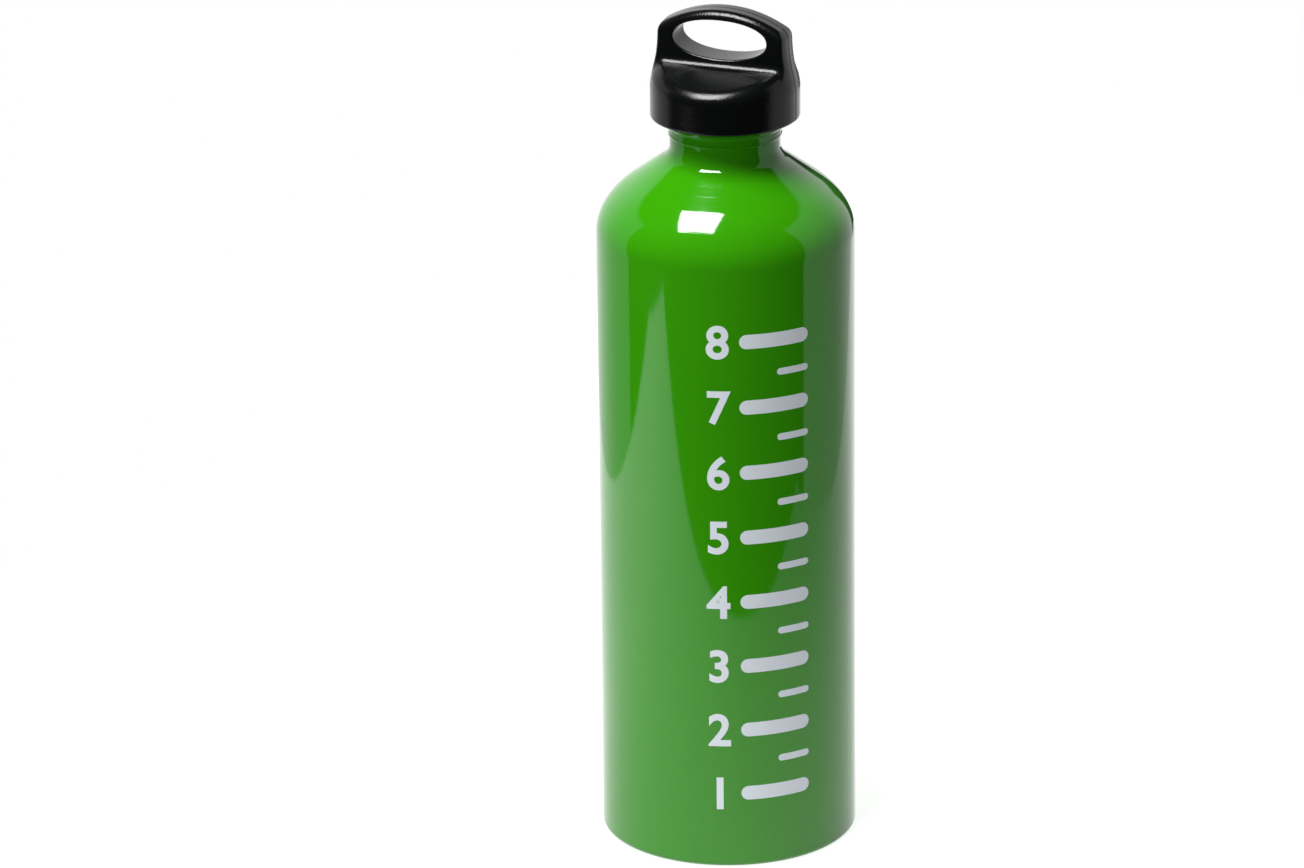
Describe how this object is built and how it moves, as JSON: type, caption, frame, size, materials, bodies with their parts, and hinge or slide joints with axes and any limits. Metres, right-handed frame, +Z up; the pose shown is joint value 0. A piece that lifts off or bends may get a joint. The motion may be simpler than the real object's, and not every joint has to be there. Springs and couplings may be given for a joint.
{
  "type": "camping fuel bottle",
  "caption": "Slim round metal fuel bottle with a domed base, sloping shoulder and necked mouth, closed by a push-and-turn screw cap with an arched carry handle.",
  "frame": {"origin": "centre of the base, on the surface that the bottle stands on", "axes": "+Z up along the bottle's axis, +X along the cap's handle"},
  "size_m": [0.08, 0.08, 0.2683],
  "materials": {
    "green_enamel": "gloss green enamel on aluminium, bare metal inside and on the rim",
    "black_cap": "black moulded polyamide, satin, faintly grained",
    "dark_stopper": "dark grey moulded plastic, satin",
    "seal_rubber": "fuel-proof black rubber",
    "spring_steel": "drawn spring steel wire"
  },
  "bodies": {
    "bottle": {"bottle_body": "green_enamel"},
    "seal": {"seal_ring": "seal_rubber"},
    "plug": {"stopper": "dark_stopper"},
    "spring": {"return_spring": "spring_steel"},
    "cap": {"cap_shell": "black_cap"}
  },
  "joints": [
    {"name": "cap_rise", "type": "slide", "parent": "bottle", "child": "seal", "axis": [0, 0, 1], "range_m": [0, 0.018]},
    {"name": "cap_turn", "type": "hinge", "parent": "seal", "child": "plug", "pos_m": [0, 0, 0.2365], "axis": [0, 0, 1], "range_deg": [0, 1620]},
    {"name": "cap_press", "type": "slide", "parent": "plug", "child": "spring", "axis": [0, 0, 1], "range_m": [-0.002, 0], "stiffness_N_per_m": 3000, "springref_m": 0.003, "deforming": ["return_spring"]},
    {"name": "shell_turn", "type": "hinge", "parent": "spring", "child": "cap", "pos_m": [0, 0, 0.2451], "axis": [0, 0, 1], "continuous": true}
  ],
  "couplings": [
    {"joint": "cap_rise", "follows": "cap_turn", "m_per_rad": 0.0006366}
  ]
}
